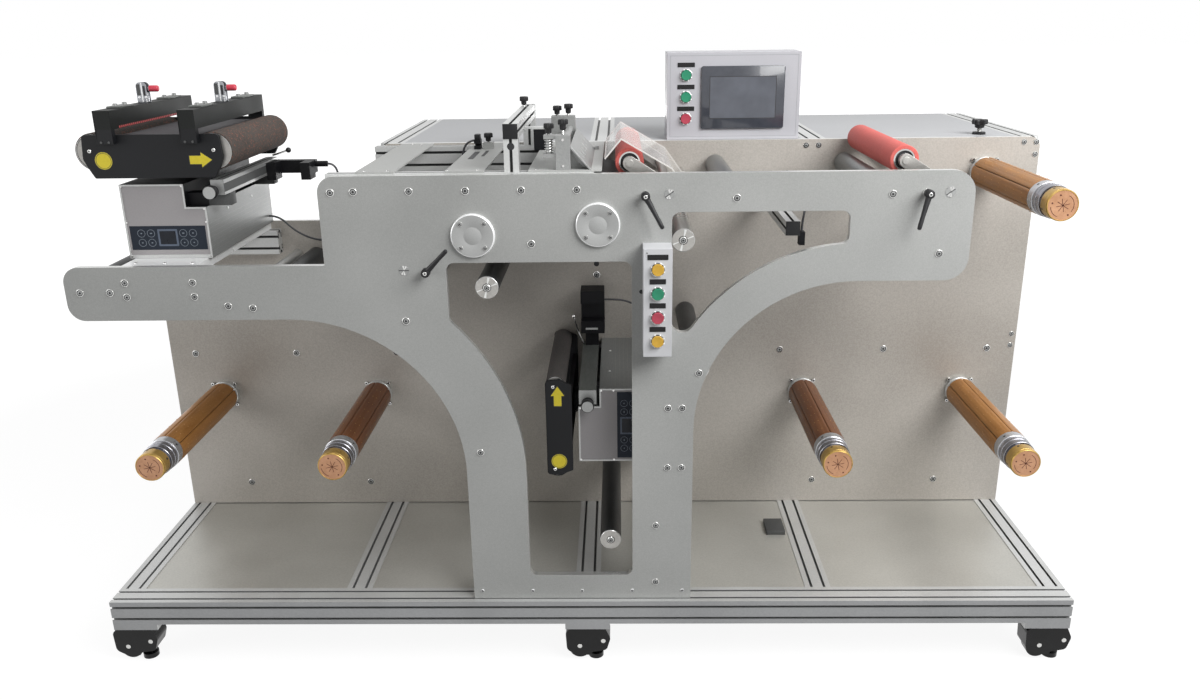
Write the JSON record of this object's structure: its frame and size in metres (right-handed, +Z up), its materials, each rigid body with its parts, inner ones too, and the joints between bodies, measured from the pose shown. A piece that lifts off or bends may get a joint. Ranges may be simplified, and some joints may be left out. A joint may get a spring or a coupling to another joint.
{
  "type": "label converting machine",
  "caption": "Floor-standing reel-to-reel label machine: side plates with windows, air shafts, rollers, web guides, control panels on a slotted profile frame.",
  "frame": {"origin": "centre of the footprint, on the floor", "axes": "+X along the machine to the operator's right, +Y from the operator to the back, +Z up"},
  "size_m": [2.2817, 1.165, 1.38],
  "materials": {
    "extrusion": "satin anodised",
    "sheet_panel": "satin",
    "machined_plate": "brushed",
    "screw_steel": "satin",
    "turned_aluminium": "turned",
    "white_panel": "satin powder coat",
    "screen_black": "gloss",
    "black_plastic": "matte",
    "guide_grey": "satin",
    "motor_black": "painted",
    "cable_black": "matte",
    "leaf_brown": "bronze anodised",
    "roller_dark": "dark anodised",
    "roller_steel": "ground",
    "rubber_dark": "matte",
    "rubber_red": "matte",
    "clear_sheet": "clear",
    "guide_black": "matte",
    "cork_brown": "rough",
    "grip_red": "gloss",
    "button_green": "gloss",
    "button_yellow": "gloss",
    "button_red": "gloss"
  },
  "bodies": {
    "machine": {"profile_frame": "extrusion", "infill_panels": "sheet_panel", "front_plate": "machined_plate", "back_plate": "machined_plate", "plate_fasteners": "screw_steel", "shaft_flanges": "turned_aluminium", "deck_plates": "machined_plate", "control_housing": "white_panel", "touch_screen": "screen_black", "button_box": "white_panel", "small_profiles": "extrusion", "black_fittings": "black_plastic", "guide_boxes": "guide_grey", "edge_sensors": "black_plastic", "drive_motors": "motor_black", "sensor_leads": "cable_black"},
    "air_shaft_far_left": {"air_shaft_far_left": "leaf_brown"},
    "air_shaft_left": {"air_shaft_left": "leaf_brown"},
    "air_shaft_right": {"air_shaft_right": "leaf_brown"},
    "air_shaft_far_right": {"air_shaft_far_right": "leaf_brown"},
    "air_shaft_top_right": {"air_shaft_top_right": "leaf_brown"},
    "idler_window": {"idler_window": "roller_dark"},
    "idler_low": {"idler_low": "roller_dark"},
    "idler_steel": {"idler_steel": "roller_steel"},
    "idler_column": {"idler_column": "roller_dark"},
    "idler_upper": {"idler_upper": "roller_steel"},
    "idler_right_nip": {"idler_right_nip": "roller_steel"},
    "idler_bed": {"idler_bed": "roller_dark"},
    "idler_bed_end": {"idler_bed_end": "roller_dark"},
    "press_drum": {"press_drum": "roller_steel"},
    "traction_drum": {"traction_drum": "rubber_dark"},
    "nip_arm_left": {"nip_arm_left": "machined_plate"},
    "nip_roller_left": {"nip_roller_left": "rubber_red"},
    "nip_arm_right": {"nip_arm_right": "machined_plate"},
    "nip_roller_right": {"nip_roller_right": "rubber_red"},
    "infeed_guide_frame": {"infeed_guide_frame": "guide_black"},
    "infeed_guide_roller_in": {"infeed_guide_roller_in": "cork_brown"},
    "clamp_toggle_in": {"clamp_toggle_in": "grip_red"},
    "infeed_guide_roller_out": {"infeed_guide_roller_out": "cork_brown"},
    "clamp_toggle_out": {"clamp_toggle_out": "grip_red"},
    "centre_guide_frame": {"centre_guide_frame": "guide_black"},
    "centre_guide_roller_in": {"centre_guide_roller_in": "cork_brown"},
    "centre_guide_roller_out": {"centre_guide_roller_out": "cork_brown"},
    "nip_cover": {"nip_cover": "clear_sheet"},
    "panel_button_1": {"panel_button_1": "button_red"},
    "panel_button_2": {"panel_button_2": "button_green"},
    "panel_button_3": {"panel_button_3": "button_green"},
    "column_button_1": {"column_button_1": "button_yellow"},
    "column_button_2": {"column_button_2": "button_green"},
    "column_button_3": {"column_button_3": "button_red"},
    "column_button_4": {"column_button_4": "button_yellow"},
    "clamp_lever_1": {"clamp_lever_1": "black_plastic"},
    "clamp_lever_2": {"clamp_lever_2": "black_plastic"},
    "clamp_lever_3": {"clamp_lever_3": "black_plastic"},
    "caster_front_left": {"caster_front_left": "black_plastic"},
    "caster_front_middle": {"caster_front_middle": "black_plastic"},
    "caster_front_right": {"caster_front_right": "black_plastic"},
    "caster_rear_left": {"caster_rear_left": "black_plastic"},
    "caster_rear_middle": {"caster_rear_middle": "black_plastic"},
    "caster_rear_right": {"caster_rear_right": "black_plastic"}
  },
  "joints": [
    {"name": "air_shaft_far_left_turn", "type": "hinge", "parent": "machine", "child": "air_shaft_far_left", "pos_m": [-0.988, -0.2275, 0.509], "axis": [0, -1, 0], "continuous": true},
    {"name": "air_shaft_left_turn", "type": "hinge", "parent": "machine", "child": "air_shaft_left", "pos_m": [-0.572, -0.2275, 0.509], "axis": [0, -1, 0], "continuous": true},
    {"name": "air_shaft_right_turn", "type": "hinge", "parent": "machine", "child": "air_shaft_right", "pos_m": [0.567, -0.2275, 0.509], "axis": [0, -1, 0], "continuous": true},
    {"name": "air_shaft_far_right_turn", "type": "hinge", "parent": "machine", "child": "air_shaft_far_right", "pos_m": [0.984, -0.2275, 0.509], "axis": [0, -1, 0], "continuous": true},
    {"name": "air_shaft_top_right_turn", "type": "hinge", "parent": "machine", "child": "air_shaft_top_right", "pos_m": [0.988, -0.2275, 1.088], "axis": [0, -1, 0], "continuous": true},
    {"name": "idler_window_turn", "type": "hinge", "parent": "machine", "child": "idler_window", "pos_m": [-0.2, -0.2675, 0.926], "axis": [0, -1, 0], "continuous": true},
    {"name": "idler_low_turn", "type": "hinge", "parent": "machine", "child": "idler_low", "pos_m": [0.056, -0.2675, 0.308], "axis": [0, -1, 0], "continuous": true},
    {"name": "idler_steel_turn", "type": "hinge", "parent": "machine", "child": "idler_steel", "pos_m": [0.214, -0.2675, 1.022], "axis": [0, -1, 0], "continuous": true},
    {"name": "idler_column_turn", "type": "hinge", "parent": "machine", "child": "idler_column", "pos_m": [0.25, -0.2615, 0.737], "axis": [0, -1, 0], "continuous": true},
    {"name": "idler_upper_turn", "type": "hinge", "parent": "machine", "child": "idler_upper", "pos_m": [0.32, -0.2615, 1.114], "axis": [0, -1, 0], "continuous": true},
    {"name": "idler_right_nip_turn", "type": "hinge", "parent": "machine", "child": "idler_right_nip", "pos_m": [0.638, -0.2615, 1.116], "axis": [0, -1, 0], "continuous": true},
    {"name": "idler_bed_turn", "type": "hinge", "parent": "machine", "child": "idler_bed", "pos_m": [-0.696, -0.2615, 0.89], "axis": [0, -1, 0], "continuous": true},
    {"name": "idler_bed_end_turn", "type": "hinge", "parent": "machine", "child": "idler_bed_end", "pos_m": [-1.06, -0.2615, 0.926], "axis": [0, -1, 0], "continuous": true},
    {"name": "press_drum_turn", "type": "hinge", "parent": "machine", "child": "press_drum", "pos_m": [-0.221, -0.2615, 1.042], "axis": [0, -1, 0], "continuous": true},
    {"name": "traction_drum_turn", "type": "hinge", "parent": "machine", "child": "traction_drum", "pos_m": [0.037, -0.2615, 1.062], "axis": [0, -1, 0], "continuous": true},
    {"name": "nip_arm_left_swing", "type": "hinge", "parent": "machine", "child": "nip_arm_left", "pos_m": [0.183, -0.2475, 1.123], "axis": [0, -1, 0], "range_deg": [0, 17]},
    {"name": "nip_roller_left_turn", "type": "hinge", "parent": "nip_arm_left", "child": "nip_roller_left", "pos_m": [0.103, -0.2475, 1.179], "axis": [0, -1, 0], "continuous": true},
    {"name": "nip_arm_right_swing", "type": "hinge", "parent": "machine", "child": "nip_arm_right", "pos_m": [0.75, -0.2475, 1.122], "axis": [0, -1, 0], "range_deg": [-25, 8.5]},
    {"name": "nip_roller_right_turn", "type": "hinge", "parent": "nip_arm_right", "child": "nip_roller_right", "pos_m": [0.67, -0.2475, 1.178], "axis": [0, -1, 0], "continuous": true},
    {"name": "infeed_guide_frame_steer", "type": "hinge", "parent": "machine", "child": "infeed_guide_frame", "pos_m": [-0.89, -0.257, 1.2], "axis": [0, 0, 1], "range_deg": [-5, 5]},
    {"name": "infeed_guide_roller_in_turn", "type": "hinge", "parent": "infeed_guide_frame", "child": "infeed_guide_roller_in", "pos_m": [-1.017, -0.257, 1.211], "axis": [0, -1, 0], "continuous": true},
    {"name": "clamp_toggle_in_lift", "type": "hinge", "parent": "infeed_guide_frame", "child": "clamp_toggle_in", "pos_m": [-0.977, -0.2605, 1.327], "axis": [0, -1, 0], "range_deg": [0, 90]},
    {"name": "infeed_guide_roller_out_turn", "type": "hinge", "parent": "infeed_guide_frame", "child": "infeed_guide_roller_out", "pos_m": [-0.763, -0.257, 1.211], "axis": [0, -1, 0], "continuous": true},
    {"name": "clamp_toggle_out_lift", "type": "hinge", "parent": "infeed_guide_frame", "child": "clamp_toggle_out", "pos_m": [-0.803, -0.2605, 1.327], "axis": [0, -1, 0], "range_deg": [0, 90]},
    {"name": "centre_guide_frame_steer", "type": "hinge", "parent": "machine", "child": "centre_guide_frame", "pos_m": [-0.04, -0.232, 0.57], "axis": [1, 0, 0], "range_deg": [-3, 3]},
    {"name": "centre_guide_roller_in_turn", "type": "hinge", "parent": "centre_guide_frame", "child": "centre_guide_roller_in", "pos_m": [-0.067, -0.232, 0.468], "axis": [0, -1, 0], "continuous": true},
    {"name": "centre_guide_roller_out_turn", "type": "hinge", "parent": "centre_guide_frame", "child": "centre_guide_roller_out", "pos_m": [-0.067, -0.232, 0.672], "axis": [0, -1, 0], "continuous": true},
    {"name": "nip_cover_lift", "type": "hinge", "parent": "machine", "child": "nip_cover", "pos_m": [0.236, -0.2975, 1.104], "axis": [0, 1, 0], "range_deg": [0, 75]},
    {"name": "panel_button_1_press", "type": "slide", "parent": "machine", "child": "panel_button_1", "axis": [0, 1, 0], "range_m": [0, 0.004], "stiffness_N_per_m": 300},
    {"name": "panel_button_2_press", "type": "slide", "parent": "machine", "child": "panel_button_2", "axis": [0, 1, 0], "range_m": [0, 0.004], "stiffness_N_per_m": 300},
    {"name": "panel_button_3_press", "type": "slide", "parent": "machine", "child": "panel_button_3", "axis": [0, 1, 0], "range_m": [0, 0.004], "stiffness_N_per_m": 300},
    {"name": "column_button_1_press", "type": "slide", "parent": "machine", "child": "column_button_1", "axis": [0, 1, 0], "range_m": [0, 0.004], "stiffness_N_per_m": 300},
    {"name": "column_button_2_press", "type": "slide", "parent": "machine", "child": "column_button_2", "axis": [0, 1, 0], "range_m": [0, 0.004], "stiffness_N_per_m": 300},
    {"name": "column_button_3_press", "type": "slide", "parent": "machine", "child": "column_button_3", "axis": [0, 1, 0], "range_m": [0, 0.004], "stiffness_N_per_m": 300},
    {"name": "column_button_4_press", "type": "slide", "parent": "machine", "child": "column_button_4", "axis": [0, 1, 0], "range_m": [0, 0.004], "stiffness_N_per_m": 300},
    {"name": "clamp_lever_1_turn", "type": "hinge", "parent": "machine", "child": "clamp_lever_1", "pos_m": [-0.32, -0.5275, 0.969], "axis": [0, -1, 0], "range_deg": [-60, 60]},
    {"name": "clamp_lever_2_turn", "type": "hinge", "parent": "machine", "child": "clamp_lever_2", "pos_m": [0.134, -0.5275, 1.123], "axis": [0, -1, 0], "range_deg": [-60, 60]},
    {"name": "clamp_lever_3_turn", "type": "hinge", "parent": "machine", "child": "clamp_lever_3", "pos_m": [0.701, -0.5275, 1.122], "axis": [0, -1, 0], "range_deg": [-60, 60]},
    {"name": "caster_front_left_swivel", "type": "hinge", "parent": "machine", "child": "caster_front_left", "pos_m": [-1.088, -0.4755, 0.1], "axis": [0, 0, 1], "continuous": true},
    {"name": "caster_front_middle_swivel", "type": "hinge", "parent": "machine", "child": "caster_front_middle", "pos_m": [0, -0.4755, 0.1], "axis": [0, 0, 1], "continuous": true},
    {"name": "caster_front_right_swivel", "type": "hinge", "parent": "machine", "child": "caster_front_right", "pos_m": [1.088, -0.4755, 0.1], "axis": [0, 0, 1], "continuous": true},
    {"name": "caster_rear_left_swivel", "type": "hinge", "parent": "machine", "child": "caster_rear_left", "pos_m": [-1.088, 0.5305, 0.1], "axis": [0, 0, 1], "continuous": true},
    {"name": "caster_rear_middle_swivel", "type": "hinge", "parent": "machine", "child": "caster_rear_middle", "pos_m": [0, 0.5305, 0.1], "axis": [0, 0, 1], "continuous": true},
    {"name": "caster_rear_right_swivel", "type": "hinge", "parent": "machine", "child": "caster_rear_right", "pos_m": [1.088, 0.5305, 0.1], "axis": [0, 0, 1], "continuous": true}
  ]
}
